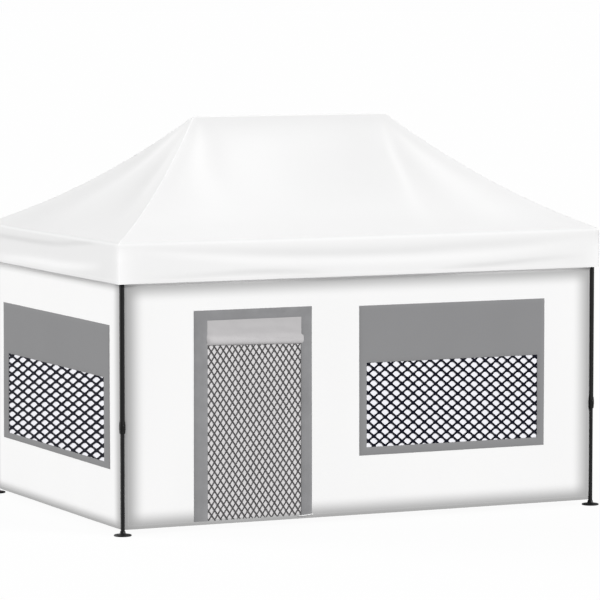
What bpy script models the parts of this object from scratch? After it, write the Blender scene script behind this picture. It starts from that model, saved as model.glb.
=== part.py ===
"""Folding marquee tent, 4.5 m long and 3 m wide, with a hipped fabric roof, a deep valance,
four fabric walls with net windows, a net doorway and four telescopic legs.

Metres, +Z up. The origin is on the ground under the middle of the tent, +X runs along the
long front wall to the right and +Y runs to the back. Fabric is drawn 3 mm thick.
"""

import math

import bmesh
import bpy
from mathutils import Matrix, Vector

# Driving dimensions of the tent
LENGTH = 4.5  # over the legs, along X
WIDTH = 3.0  # over the legs, along Y
CANOPY_OVERHANG = 0.03  # how far the valance stands out from the legs
VALANCE_BOTTOM = 2.11
EAVE = 2.45
RIDGE = 3.43
RIDGE_HALF = 0.935
ROOF_HOLLOW = 0.38  # how much the slopes sag, 0 is a straight slope
ROOF_STRIPS = 9
FABRIC = 0.003
GAP = 0.0003  # between touching pieces

# Legs
UPPER_TUBE = 0.034
LOWER_TUBE = 0.028
TUBE_WALL = 0.0015
UPPER_FOOT = 0.871  # lower end of the upper tube
UPPER_TOP = 2.40
COLLAR_LOW = 0.859
COLLAR_HIGH = 0.961
COLLAR_WIDTH = 0.044
COLLAR_CHAMFER = 0.004
GUIDE_CLEARANCE = 0.0007  # collar bore to lower tube, each side
LOWER_TOP = 1.076
FOOT_RADIUS = 0.0755
FOOT_SIDES = 24

# Scissor trusses
HIGH_PIVOT = 2.395
LOW_PIVOT = 2.145
MAST_X = 0.90
BAR_DEPTH = 0.025
BAR_THICK = 0.012
BAR_OFFSET = 0.0075
PIN_RADIUS = 0.005
PIN_LENGTH = 0.036
HUB_LONG = 0.050
HUB_WIDE = 0.036
HUB_HIGH = 0.040
END_LONG = 0.034
BRACKET_OUT = 0.022  # bracket block, outwards from the leg's axis
BRACKET_IN = 0.038  # and inwards
SLIDER_HIGH = 0.050
TRUSS_INSET = 0.017  # truss line inwards from the leg's axis

# Masts
MAST_RADIUS = 0.0125
MAST_FOOT = 2.105
HEAD_RADIUS = 0.045
HEAD_TIP = 0.010
HEAD_SLOPE = 0.92
HEAD_SKIRT = 0.028
MAST_SIDES = 16

# Walls and what is set into them
HEM = 0.05
WALL_TOP = 2.372
WALL_SETBACK = 0.0025  # wall's outer face behind the legs' outer faces
NET_THICK = 0.002
FRONT_WINDOW = (-0.047, 1.753, 0.56, 1.85)  # left, right, bottom, top
FRONT_NET = (0.023, 1.684, 0.63, 1.358)
SIDE_WINDOW = (-1.25, 1.25, 0.534, 1.75)
SIDE_NET = (-1.12, 1.12, 0.587, 1.30)
DOOR_SILL = 0.08  # the wall's lower edge runs on below the doorway
DOOR = (-1.59, -0.493, DOOR_SILL, 1.864)
DOOR_NET = (-1.463, -0.593, DOOR_SILL, 1.552)
DOOR_STRIP = (-1.463, -0.593, 1.552, 1.785)

LEG_X = (LENGTH - UPPER_TUBE) / 2
LEG_Y = (WIDTH - UPPER_TUBE) / 2
CANOPY_X = LENGTH / 2 + CANOPY_OVERHANG
CANOPY_Y = WIDTH / 2 + CANOPY_OVERHANG
TRUSS_X = LEG_X - TRUSS_INSET
TRUSS_Y = LEG_Y - TRUSS_INSET
CORNERS = {
    "front_left": (-1, -1),
    "front_right": (1, -1),
    "back_left": (-1, 1),
    "back_right": (1, 1),
}


def clear_scene():
    for thing in list(bpy.data.objects):
        bpy.data.objects.remove(thing)


def finish(name, colour, roughness, metallic=0.0):
    material = bpy.data.materials.new(name)
    material.use_nodes = True
    shader = material.node_tree.nodes["Principled BSDF"]
    shader.inputs["Base Color"].default_value = (*colour, 1.0)
    shader.inputs["Roughness"].default_value = roughness
    shader.inputs["Metallic"].default_value = metallic
    return material


def add_object(name, mesh, material):
    thing = bpy.data.objects.new(name, mesh)
    bpy.context.scene.collection.objects.link(thing)
    if material:
        mesh.materials.append(material)
    return thing


def object_from(name, work, material):
    """Ends a bmesh as a named object, with its faces pointing out."""
    bmesh.ops.recalc_face_normals(work, faces=work.faces)
    mesh = bpy.data.meshes.new(name)
    work.to_mesh(mesh)
    work.free()
    return add_object(name, mesh, material)


def block(name, low, high, material=None):
    """A box between two opposite corners."""
    low, high = Vector(low), Vector(high)
    work = bmesh.new()
    bmesh.ops.create_cube(work, size=1.0)
    bmesh.ops.scale(work, vec=high - low, verts=work.verts)
    bmesh.ops.translate(work, vec=(low + high) / 2, verts=work.verts)
    return object_from(name, work, material)


def beam(name, start, end, depth, thick, material=None):
    """A bar of rectangular section whose depth lies in the upright plane through its two ends."""
    start, end = Vector(start), Vector(end)
    along = (end - start).normalized()
    side = along.cross(Vector((0, 0, 1))).normalized()
    work = bmesh.new()
    bmesh.ops.create_cube(work, size=1.0)
    bmesh.ops.scale(work, vec=((end - start).length, thick, depth), verts=work.verts)
    turn = Matrix((along, side, along.cross(side))).transposed().to_4x4()
    bmesh.ops.transform(work, matrix=Matrix.Translation((start + end) / 2) @ turn, verts=work.verts)
    return object_from(name, work, material)


def swept(name, profile, sides, centre=(0, 0), material=None, turn=0.0):
    """A closed (radius, z) profile carried round an upright axis. A profile that starts and ends
    on the axis makes a solid of revolution, and any other makes a sleeve."""
    solid = profile[0][0] == 0
    work = bmesh.new()
    rings = []
    for radius, z in profile:
        if radius == 0:
            rings.append([work.verts.new((centre[0], centre[1], z))] * sides)
            continue
        ring = []
        for k in range(sides):
            angle = turn + 2 * math.pi * k / sides
            x = centre[0] + radius * math.cos(angle)
            y = centre[1] + radius * math.sin(angle)
            ring.append(work.verts.new((x, y, z)))
        rings.append(ring)
    pairs = list(zip(rings, rings[1:]))
    if not solid:
        pairs.append((rings[-1], rings[0]))
    for lower, upper in pairs:
        for k in range(sides):
            corners = [lower[k - 1], lower[k], upper[k], upper[k - 1]]
            work.faces.new(list(dict.fromkeys(corners)))
    return object_from(name, work, material)


def square_sleeve(name, profile, centre, material=None):
    """A closed profile of (half width, z) carried round four corners."""
    corner_profile = [(half * math.sqrt(2), z) for half, z in profile]
    return swept(name, corner_profile, 4, centre, material, math.pi / 4)


def hide_operand(thing):
    thing.hide_render = True
    thing.display_type = "WIRE"
    thing.hide_viewport = False


def combine(target, others, operation):
    """Fuses others into target, or cuts them out of it."""
    if not others:
        return target
    group = bpy.data.collections.new(target.name + "_" + operation.lower())
    bpy.context.scene.collection.children.link(group)
    for thing in others:
        bpy.context.scene.collection.objects.unlink(thing)
        group.objects.link(thing)
        hide_operand(thing)
    modifier = target.modifiers.new(operation.lower(), "BOOLEAN")
    modifier.operation = operation
    modifier.operand_type = "COLLECTION"
    modifier.collection = group
    modifier.solver = "EXACT"
    return target


def drop(x_share):
    """Height of the roof above the eave, 1 at the ridge and 0 at the eave, for a share of the
    way down the slope."""
    return (1 - x_share) * (1 - ROOF_HOLLOW * x_share)


def roof_height(share):
    return EAVE + (RIDGE - EAVE) * drop(share)


# Roof

def roof_panel(name, rows, material):
    """A sheet through rows of two top points each, FABRIC thick, measured straight down."""
    work = bmesh.new()
    top = [[work.verts.new(p) for p in row] for row in rows]
    under = [[work.verts.new((p[0], p[1], p[2] - FABRIC)) for p in row] for row in rows]
    for k in range(len(rows) - 1):
        work.faces.new((top[k][0], top[k][1], top[k + 1][1], top[k + 1][0]))
        work.faces.new((under[k][0], under[k + 1][0], under[k + 1][1], under[k][1]))
        for side in (0, 1):
            work.faces.new((top[k][side], top[k + 1][side], under[k + 1][side], under[k][side]))
    for k in (0, len(rows) - 1):
        work.faces.new((top[k][0], top[k][1], under[k][1], under[k][0]))
    return object_from(name, work, material)


def long_panel(name, side, material):
    """Front or back slope, a trapezium in plan; side is -1 at the front."""
    rows = []
    for k in range(ROOF_STRIPS + 1):
        share = k / ROOF_STRIPS
        y = side * max(CANOPY_Y * share, GAP / 2)
        half = RIDGE_HALF + (CANOPY_X - RIDGE_HALF) * share - GAP / 2
        z = roof_height(share)
        rows.append(((-half, y, z), (half, y, z)))
    return roof_panel(name, rows, material)


def end_panel(name, side, material):
    """Left or right slope, a triangle in plan with a blunt tip at the peak; side is -1 at the left."""
    tip_share = 0.004
    rows = []
    for k in range(ROOF_STRIPS + 1):
        share = tip_share + (1 - tip_share) * k / ROOF_STRIPS
        x = side * (RIDGE_HALF + (CANOPY_X - RIDGE_HALF) * share)
        half = CANOPY_Y * share - GAP
        z = roof_height(share)
        rows.append(((x, -half, z), (x, half, z)))
    return roof_panel(name, rows, material)


def valance(material):
    """The upright band round the eave, one sewn ring."""
    top = EAVE - FABRIC - GAP
    ring = block("valance", (-CANOPY_X, -CANOPY_Y, VALANCE_BOTTOM), (CANOPY_X, CANOPY_Y, top), material)
    inside_x = CANOPY_X - FABRIC
    inside_y = CANOPY_Y - FABRIC
    hole = block("valance_hole", (-inside_x, -inside_y, 0), (inside_x, inside_y, RIDGE))
    return combine(ring, [hole], "DIFFERENCE")


# Legs and their brackets

def upper_leg(name, centre, material):
    """Square tube with the moulded collar that guides the lower tube."""
    outer = UPPER_TUBE / 2
    inner = outer - TUBE_WALL
    guide = LOWER_TUBE / 2 + GUIDE_CLEARANCE
    collar = COLLAR_WIDTH / 2
    profile = [
        (guide, COLLAR_LOW),
        (collar - COLLAR_CHAMFER, COLLAR_LOW),
        (collar, COLLAR_LOW + COLLAR_CHAMFER),
        (collar, COLLAR_HIGH - COLLAR_CHAMFER),
        (outer, COLLAR_HIGH),
        (outer, UPPER_TOP),
        (inner, UPPER_TOP),
        (inner, UPPER_FOOT),
        (guide, UPPER_FOOT),
    ]
    return square_sleeve(name, profile, centre, material)


def lower_leg(name, centre, material):
    """Square tube welded to a round foot plate with a flared neck."""
    outer = LOWER_TUBE / 2
    inner = outer - TUBE_WALL
    plate = [
        (0, 0),
        (FOOT_RADIUS - 0.003, 0),
        (FOOT_RADIUS, 0.003),
        (FOOT_RADIUS, 0.009),
        (FOOT_RADIUS - 0.009, 0.014),
        (0.030, 0.017),
        (0.0235, 0.025),
        (0.0215, 0.040),
        (0, 0.040),
    ]
    tube_foot = 0.010
    tube_profile = [(inner, tube_foot), (outer, tube_foot), (outer, LOWER_TOP), (inner, LOWER_TOP)]
    tube = square_sleeve(name, tube_profile, centre, material)
    return combine(tube, [swept(name + "_foot", plate, FOOT_SIDES, centre)], "UNION")


def corner_block(name, sign, low, high, material):
    """A block round a leg, reaching further inwards than outwards."""
    xs = sorted((sign[0] * (LEG_X + BRACKET_OUT), sign[0] * (LEG_X - BRACKET_IN)))
    ys = sorted((sign[1] * (LEG_Y + BRACKET_OUT), sign[1] * (LEG_Y - BRACKET_IN)))
    return block(name, (xs[0], ys[0], low), (xs[1], ys[1], high), material)


def leg_socket(name, sign, low, high):
    half = UPPER_TUBE / 2 + GAP
    x = sign[0] * LEG_X
    y = sign[1] * LEG_Y
    return block(name, (x - half, y - half, low), (x + half, y + half, high))


def top_bracket(corner, sign, material):
    """The cap on the leg's upper end, which carries the roof's corner."""
    low = WALL_TOP + 0.003
    outer_share = (LEG_Y + BRACKET_OUT) / CANOPY_Y
    high = roof_height(outer_share) - FABRIC - GAP
    name = "top_bracket_" + corner
    body = corner_block(name, sign, low, high, material)
    socket = leg_socket(name + "_socket", sign, low - 0.01, UPPER_TOP + GAP)
    return combine(body, [socket], "DIFFERENCE")


def slide_bracket(corner, sign, material):
    """The sleeve that slides on the leg and carries the low ends of the trusses."""
    low = LOW_PIVOT - SLIDER_HIGH / 2
    high = LOW_PIVOT + SLIDER_HIGH / 2
    name = "slide_bracket_" + corner
    body = corner_block(name, sign, low, high, material)
    socket = leg_socket(name + "_socket", sign, low - 0.01, high + 0.01)
    return combine(body, [socket], "DIFFERENCE")


# Scissor trusses

def plan_box(name, centre, along, long, wide, low, high):
    """A block whose long side runs along X or Y."""
    half_x, half_y = (long / 2, wide / 2) if along.x else (wide / 2, long / 2)
    return block(
        name,
        (centre.x - half_x, centre.y - half_y, low),
        (centre.x + half_x, centre.y + half_y, high),
    )


def scissor(name, start, end):
    """Two crossed bars and their pin, between two plan points."""
    start, end = Vector(start), Vector(end)
    along = (end - start).normalized()
    side = Vector((-along.y, along.x))
    made = []
    for sign, z_start, z_end in ((-1, HIGH_PIVOT, LOW_PIVOT), (1, LOW_PIVOT, HIGH_PIVOT)):
        offset = side * (sign * BAR_OFFSET)
        first = (*(start + offset), z_start)
        last = (*(end + offset), z_end)
        made.append(beam(f"{name}_bar{sign}", first, last, BAR_DEPTH, BAR_THICK))
    middle = (start + end) / 2
    height = (HIGH_PIVOT + LOW_PIVOT) / 2
    pin = bmesh.new()
    bmesh.ops.create_cone(
        pin, cap_ends=True, segments=8, radius1=PIN_RADIUS, radius2=PIN_RADIUS, depth=PIN_LENGTH
    )
    turn = Vector((0, 0, 1)).rotation_difference(Vector((side.x, side.y, 0))).to_matrix().to_4x4()
    place = Matrix.Translation((middle.x, middle.y, height))
    bmesh.ops.transform(pin, matrix=place @ turn, verts=pin.verts)
    made.append(object_from(name + "_pin", pin, None))
    return made


def blocks_at(name, point, along, long, shift=0.0):
    """The high and the low moulded block at one plan point of a truss."""
    centre = Vector(point) + along * shift
    made = []
    for label, pivot in (("high", HIGH_PIVOT), ("low", LOW_PIVOT)):
        low = pivot - HUB_HIGH / 2
        high = pivot + HUB_HIGH / 2
        made.append(plan_box(f"{name}_{label}", centre, along, long, HUB_WIDE, low, high))
    return made


def truss_run(name, points):
    """Scissors between points in a line, with a hub at each inner point and an end block at each end."""
    points = [Vector(p) for p in points]
    along = (points[-1] - points[0]).normalized()
    made = []
    for k in range(len(points) - 1):
        made += scissor(f"{name}_scissor{k}", points[k], points[k + 1])
    for k, point in enumerate(points[1:-1]):
        made += blocks_at(f"{name}_hub{k}", point, along, HUB_LONG)
    made += blocks_at(name + "_start", points[0], along, END_LONG, 0.0)
    made += blocks_at(name + "_end", points[-1], along, END_LONG, 0.0)
    return made


def fused_truss(name, solids, material):
    first = solids[0]
    first.name = name
    first.data.materials.append(material)
    return combine(first, solids[1:], "UNION")


def wall_truss(name, points, material):
    return fused_truss(name, truss_run(name, points), material)


def end_point(leg, reach):
    """Middle of an end block that stands against a bracket, along one axis."""
    return leg - BRACKET_IN - GAP - reach / 2


def perimeter_trusses(material):
    far_x = end_point(LEG_X, END_LONG)
    far_y = end_point(LEG_Y, END_LONG)
    for name, side in (("front_truss", -1), ("back_truss", 1)):
        y = side * TRUSS_Y
        wall_truss(name, [(-far_x, y), (-MAST_X, y), (MAST_X, y), (far_x, y)], material)
    for name, side in (("left_truss", -1), ("right_truss", 1)):
        x = side * TRUSS_X
        wall_truss(name, [(x, -far_y), (x, 0), (x, far_y)], material)


def mast_hole(name, x):
    profile = [(0, MAST_FOOT - 0.02), (MAST_RADIUS + GAP, MAST_FOOT - 0.02)]
    profile += [(MAST_RADIUS + GAP, RIDGE), (0, RIDGE)]
    return swept(name, profile, MAST_SIDES, (x, 0))


def roof_trusses(material):
    """A T of trusses at each mast, and the one between the masts."""
    hub_edge = HUB_WIDE / 2 + GAP + END_LONG / 2
    far_y = TRUSS_Y - hub_edge
    far_x = TRUSS_X - hub_edge
    mast_hub_half = 0.030
    for name, side in (("left_roof_truss", -1), ("right_roof_truss", 1)):
        x = side * MAST_X
        solids = truss_run(name + "_cross", [(x, -far_y), (x, 0), (x, far_y)])
        solids += scissor(name + "_outer", (side * far_x, 0), (x, 0))
        along = Vector((1, 0))
        solids += blocks_at(name + "_outer_end", (side * far_x, 0), along, END_LONG)
        for label, pivot in (("high", HIGH_PIVOT), ("low", LOW_PIVOT)):
            low = (x - mast_hub_half, -mast_hub_half, pivot - HUB_HIGH / 2)
            high = (x + mast_hub_half, mast_hub_half, pivot + HUB_HIGH / 2)
            solids.append(block(f"{name}_mast_hub_{label}", low, high))
        truss = fused_truss(name, solids, material)
        combine(truss, [mast_hole(name + "_hole", x)], "DIFFERENCE")
    inner = MAST_X - mast_hub_half - GAP - END_LONG / 2
    wall_truss("ridge_truss", [(-inner, 0), (inner, 0)], material)


def mast(name, x, material):
    """Round pole with a cone-shaped head that lifts the peak of the roof."""
    tip_share = HEAD_TIP / CANOPY_Y
    tip = roof_height(tip_share) - FABRIC - 0.0004
    rim = tip - (HEAD_RADIUS - HEAD_TIP) * HEAD_SLOPE
    profile = [
        (0, MAST_FOOT),
        (MAST_RADIUS, MAST_FOOT),
        (MAST_RADIUS, rim - HEAD_SKIRT),
        (HEAD_RADIUS - 0.010, rim - HEAD_SKIRT),
        (HEAD_RADIUS, rim - HEAD_SKIRT * 0.6),
        (HEAD_RADIUS, rim),
        (HEAD_TIP, tip),
        (0, tip),
    ]
    return swept(name, profile, MAST_SIDES, (x, 0), material)


# Walls

def upright_slab(name, on_x, side, rect, thick, material=None, shrink=0.0, sink=0.0):
    """A slab in the plane of a wall. on_x is True for the front and back walls, which run along X.
    side is -1 for front or left. rect is (start, end, low, high), and shrink takes its edges in."""
    start, end, low, high = rect
    start, end, low, high = start + shrink, end - shrink, low + shrink, high - shrink
    face = (WIDTH if on_x else LENGTH) / 2 - WALL_SETBACK - sink
    depths = sorted((side * face, side * (face - thick)))
    if on_x:
        return block(name, (start, depths[0], low), (end, depths[1], high), material)
    return block(name, (depths[0], start, low), (depths[1], end, high), material)


def cut_through(name, on_x, side, rect):
    """A cutter through a wall, well past both faces."""
    return upright_slab(name, on_x, side, rect, 0.06, sink=-0.03)


def wall(name, on_x, side, openings, material):
    """One fabric wall between two legs, cut back round the collars and behind the brackets."""
    leg = LEG_X if on_x else LEG_Y
    edge = leg - UPPER_TUBE / 2 - GAP
    sheet = upright_slab(name, on_x, side, (-edge, edge, HEM, WALL_TOP), FABRIC, material)
    collar_cut = COLLAR_WIDTH / 2 - UPPER_TUBE / 2 + 0.001
    bracket_cut = BRACKET_IN - UPPER_TUBE / 2 + 0.005
    cutters = []
    for end in (-1, 1):
        near = end * (edge + 0.01)
        collar = sorted((near, end * (edge - collar_cut)))
        bracket = sorted((near, end * (edge - bracket_cut)))
        collar_rect = (*collar, COLLAR_LOW - 0.006, COLLAR_HIGH + 0.006)
        bracket_rect = (*bracket, VALANCE_BOTTOM + 0.002, WALL_TOP + 0.01)
        cutters.append(cut_through(f"{name}_collar{end}", on_x, side, collar_rect))
        cutters.append(cut_through(f"{name}_bracket{end}", on_x, side, bracket_rect))
    for k, rect in enumerate(openings):
        cutters.append(cut_through(f"{name}_opening{k}", on_x, side, rect))
    return combine(sheet, cutters, "DIFFERENCE")


def inset_sheet(name, on_x, side, rect, thick, material, hole=None):
    """Cloth set into an opening of a wall, with an opening of its own if hole is given."""
    start, end, low, high = rect
    sheet_rect = (start + GAP, end - GAP, low + GAP, high - GAP)
    sink = (FABRIC - thick) / 2
    sheet = upright_slab(name, on_x, side, sheet_rect, thick, material, sink=sink)
    if hole is None:
        return sheet
    start, end, hole_low, high = hole
    hole_low = low - 0.02 if hole_low == low else hole_low
    cutter = cut_through(name + "_hole", on_x, side, (start, end, hole_low, high))
    return combine(sheet, [cutter], "DIFFERENCE")


def window(name, on_x, side, frame_rect, net_rect, cloth, net):
    inset_sheet(name + "_surround", on_x, side, frame_rect, FABRIC, cloth, net_rect)
    inset_sheet(name + "_net", on_x, side, net_rect, NET_THICK, net)


def doorway(cloth, strip, net):
    whole = (DOOR_NET[0], DOOR_NET[1], DOOR_SILL, DOOR_STRIP[3])
    inset_sheet("door_surround", True, -1, DOOR, FABRIC, cloth, whole)
    inset_sheet("door_strip", True, -1, DOOR_STRIP, FABRIC, strip)
    inset_sheet("door_net", True, -1, DOOR_NET, NET_THICK, net)


def main():
    clear_scene()
    white_cloth = finish("white_polyester", (0.93, 0.93, 0.93), 0.75)
    grey_cloth = finish("grey_polyester", (0.27, 0.27, 0.28), 0.8)
    light_cloth = finish("light_grey_strip", (0.52, 0.51, 0.52), 0.7)
    net = finish("black_netting", (0.03, 0.03, 0.04), 0.85)
    steel = finish("black_powder_coat", (0.02, 0.02, 0.02), 0.45, 0.3)
    plastic = finish("black_nylon", (0.012, 0.012, 0.012), 0.55)

    long_panel("roof_front", -1, white_cloth)
    long_panel("roof_back", 1, white_cloth)
    end_panel("roof_left", -1, white_cloth)
    end_panel("roof_right", 1, white_cloth)
    valance(white_cloth)

    for corner, sign in CORNERS.items():
        centre = (sign[0] * LEG_X, sign[1] * LEG_Y)
        upper_leg("upper_leg_" + corner, centre, steel)
        lower_leg("lower_leg_" + corner, centre, steel)
        top_bracket(corner, sign, plastic)
        slide_bracket(corner, sign, plastic)

    perimeter_trusses(steel)
    roof_trusses(steel)
    mast("mast_left", -MAST_X, steel)
    mast("mast_right", MAST_X, steel)

    wall("front_wall", True, -1, [DOOR, FRONT_WINDOW], white_cloth)
    wall("back_wall", True, 1, [FRONT_WINDOW], white_cloth)
    wall("left_wall", False, -1, [SIDE_WINDOW], white_cloth)
    wall("right_wall", False, 1, [SIDE_WINDOW], white_cloth)
    doorway(grey_cloth, light_cloth, net)
    window("front_window", True, -1, FRONT_WINDOW, FRONT_NET, grey_cloth, net)
    window("back_window", True, 1, FRONT_WINDOW, FRONT_NET, grey_cloth, net)
    window("left_window", False, -1, SIDE_WINDOW, SIDE_NET, grey_cloth, net)
    window("right_window", False, 1, SIDE_WINDOW, SIDE_NET, grey_cloth, net)


main()
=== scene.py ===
"""Looks of the folding marquee tent: canopy, walls, windows, doorway and legs in their real finishes,
the studio and the camera. Metres, in the same frame as the CAD: +X along the front wall, +Z up."""

import math
from contextlib import contextmanager

import bpy
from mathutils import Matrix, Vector, noise


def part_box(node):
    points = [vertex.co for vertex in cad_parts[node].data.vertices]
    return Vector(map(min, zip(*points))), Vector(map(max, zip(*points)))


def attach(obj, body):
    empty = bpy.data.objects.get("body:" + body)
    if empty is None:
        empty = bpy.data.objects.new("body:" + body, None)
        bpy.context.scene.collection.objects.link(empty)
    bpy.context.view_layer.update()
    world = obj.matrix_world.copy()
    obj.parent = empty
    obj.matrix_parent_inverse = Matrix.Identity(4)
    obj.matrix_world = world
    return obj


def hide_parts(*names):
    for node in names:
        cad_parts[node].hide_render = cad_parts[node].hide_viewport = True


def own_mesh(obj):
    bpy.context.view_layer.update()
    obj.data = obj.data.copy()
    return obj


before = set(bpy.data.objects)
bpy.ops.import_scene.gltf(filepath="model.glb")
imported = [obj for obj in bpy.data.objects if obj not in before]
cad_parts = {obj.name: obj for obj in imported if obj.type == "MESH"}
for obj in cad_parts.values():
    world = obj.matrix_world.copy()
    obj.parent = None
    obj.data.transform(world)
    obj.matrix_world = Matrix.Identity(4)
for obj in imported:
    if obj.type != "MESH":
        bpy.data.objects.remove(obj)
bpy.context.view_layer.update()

# Canopy, with its outline read from the frame
valance_low, valance_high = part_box("valance")
CANOPY_X = valance_high.x
CANOPY_Y = valance_high.y
VALANCE_BOTTOM = valance_low.z
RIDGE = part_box("roof_front")[1].z
CAD_FABRIC = 0.003
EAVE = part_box("roof_front")[0].z + CAD_FABRIC
RIDGE_HALF = 0.935
ROOF_HOLLOW = 0.38
VALANCE_DROP = EAVE - VALANCE_BOTTOM
CANOPY_CLOTH = 0.0016

# Walls
WALL_LOW, WALL_HIGH = (corner.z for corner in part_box("front_wall"))
WALL_HALF_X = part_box("front_wall")[1].x
WALL_HALF_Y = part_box("left_wall")[1].y
WALL_FACE_Y = -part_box("front_wall")[0].y
WALL_FACE_X = -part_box("left_wall")[0].x
WALL_CLOTH = 0.0016
# Lines of a wall's mesh are no further apart
WALL_LINES = 0.045
# A hem's width, the step beside it, and how far it stands out
HEM_WIDTH = 0.030
HEM_STEP = 0.0015
HEM_STANDS_OUT = 0.0006
# How far a surround laps over the edge of the wall's opening
OPENING_LAP = 0.012
# How far in the wall's top corners are cut back for the brackets
BRACKET_CUT = 0.0265
# The collars' height, how far a wall's edge stands aside there, and how far above and below it eases back
COLLAR_LOW, COLLAR_HIGH = 0.859, 0.961
COLLAR_ROOM = 0.0062
COLLAR_EASE = 0.03

# Surrounds: their cloth, how far they stand out of the wall, and how wide and how deep their edges are
# turned in
SURROUND_CLOTH = 0.0012
SURROUND_PROUD = 0.0022
SURROUND_TURN = 0.004
SURROUND_DIP = 0.0012
# Nets: their cord, how far its edges stand out of the wall, and how much further its middle does
NET_CORD = 0.0022
NET_PROUD = 0.0008
CORD_DOME = 0.0012
# The film behind each net: how far back it lies, and how far it laps over the net's edge
BACKING_FILM = 0.0008
BACKING_SETBACK = 0.0035
BACKING_LAP = 0.008

# Legs
FOOT_RADIUS = 0.0755
LEG_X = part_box("lower_leg_front_right")[1].x - FOOT_RADIUS
LEG_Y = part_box("lower_leg_back_left")[1].y - FOOT_RADIUS
UPPER_TUBE = 0.034
LOWER_TUBE = 0.028
TUBE_WALL = 0.0015
COLLAR_HALF = 0.022
COLLAR_THICK = 0.0042
# How much slimmer a collar is at its ends than halfway, and its grooves' heights, in shares of its own
COLLAR_BARREL = 0.0030
GROOVES = (0.16, 0.25)
GROOVE_DEPTH = 0.0008

# Camera, fitted to the photo
CAMERA_PLACE = (-14.473, -31.119, 4.718)
CAMERA_YAW = 25.087
CAMERA_DIP = 4.89
CAMERA_LENS = 232.19

# Studio light: what the floor reflects and gives off, what the sky gives and shows, and each lamp's
# name, the way it comes from, its strength and its softness in degrees
FLOOR_GREY = 0.04
FLOOR_SHOWS = 0.95
FLOOR_LIGHT = 0.36
SKY_LIGHT = 0.27
BACKDROP = 0.991
LAMPS = [
    ("key", (0.620, -0.650, 0.440), 1.015, 25),
    ("fill", (-0.697, 0.602, 0.386), 0.957, 35),
]

CORNERS = {
    "front_left": (-1, -1),
    "front_right": (1, -1),
    "back_left": (-1, 1),
    "back_right": (1, 1),
}


# Making and shaping pieces

def clear_selection():
    bpy.ops.object.select_all(action="DESELECT")


def take(piece):
    """Makes one piece the only one that operators act on."""
    clear_selection()
    piece.select_set(True)
    bpy.context.view_layer.objects.active = piece


@contextmanager
def editing(piece, kind=None, wanted=None):
    """Edit mode on a piece, with all of it selected, or only those of its faces or edges that the
    test wants."""
    take(piece)
    bpy.ops.object.mode_set(mode="EDIT")
    bpy.ops.mesh.select_all(action="SELECT")
    if wanted:
        bpy.ops.mesh.select_all(action="DESELECT")
        bpy.ops.mesh.select_mode(type=kind)
        bpy.ops.object.mode_set(mode="OBJECT")
        for part in piece.data.polygons if kind == "FACE" else piece.data.edges:
            part.select = wanted(part)
        bpy.ops.object.mode_set(mode="EDIT")
    yield
    bpy.ops.object.mode_set(mode="OBJECT")


def newly_made(name):
    piece = bpy.context.object
    piece.name = name
    piece.data.name = name
    return piece


def finish_modifier(piece, kind, **settings):
    """Adds a modifier to the piece and applies it."""
    take(piece)
    modifier = piece.modifiers.new(kind.lower(), kind)
    for setting, value in settings.items():
        setattr(modifier, setting, value)
    bpy.ops.object.modifier_apply(modifier=modifier.name)


def smooth(piece, angle=35.0):
    take(piece)
    bpy.ops.object.shade_smooth_by_angle(angle=math.radians(angle))


def set_down(piece):
    """Puts the piece's place into its mesh."""
    take(piece)
    bpy.ops.object.transform_apply(location=True, rotation=True, scale=True)


def join(name, pieces, within):
    """Joins pieces into one mesh, merging points that lie within a distance of each other."""
    clear_selection()
    for piece in pieces:
        piece.select_set(True)
    bpy.context.view_layer.objects.active = pieces[0]
    if len(pieces) > 1:
        bpy.ops.object.join()
    whole = newly_made(name)
    with editing(whole):
        bpy.ops.mesh.remove_doubles(threshold=within)
    return whole


def delete_faces(piece, unwanted):
    """Removes the faces whose middle the test picks."""
    with editing(piece, "FACE", lambda face: unwanted(face.center)):
        bpy.ops.mesh.delete(type="FACE")


def stations(low, high, step, stops=()):
    """Places of a sheet's lines from low to high, no more than step apart, with one at each stop."""
    marks = sorted({low, high, *[stop for stop in stops if low < stop < high]})
    lines = [marks[0]]
    for start, end in zip(marks, marks[1:]):
        parts = max(1, math.ceil((end - start) / step))
        lines += [start + (end - start) * k / parts for k in range(1, parts + 1)]
    return lines


def cloth_grid(name, across, down, place, attributes=None):
    """Cloth with lines at the stations across and down, laid by place(a, d). Its UV map holds a and d
    in metres, and attributes names functions of a and d whose values its points keep."""
    clear_selection()
    columns, rows = len(across) - 1, len(down) - 1
    bpy.ops.mesh.primitive_grid_add(x_subdivisions=columns, y_subdivisions=rows, size=2)
    sheet = newly_made(name)
    mesh = sheet.data
    flat = []
    for vertex in mesh.vertices:
        column = round((vertex.co.x + 1) / 2 * columns)
        row = round((vertex.co.y + 1) / 2 * rows)
        flat.append((across[column], down[row]))
    for vertex, (a, d) in zip(mesh.vertices, flat):
        vertex.co = place(a, d)
    mesh.uv_layers[0].name = "cloth"
    lay = mesh.uv_layers["cloth"].data
    for loop in mesh.loops:
        lay[loop.index].uv = flat[loop.vertex_index]
    for attribute, value in (attributes or {}).items():
        layer = mesh.attributes.new(attribute, "FLOAT", "POINT")
        layer.data.foreach_set("value", [value(a, d) for a, d in flat])
    return sheet


def thicken(sheet, thickness, offset=-1.0):
    finish_modifier(sheet, "SOLIDIFY", thickness=thickness, offset=offset, use_even_offset=True)


def face_outwards(sheet, outward):
    """Turns the sheet over if its faces point away from the side that shows. outward(point) gives
    the way that the cloth there should face."""
    agree = 0.0
    for face in sheet.data.polygons:
        agree += face.normal.dot(outward(face.center)) * face.area
    if agree < 0:
        with editing(sheet):
            bpy.ops.mesh.flip_normals()


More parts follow.
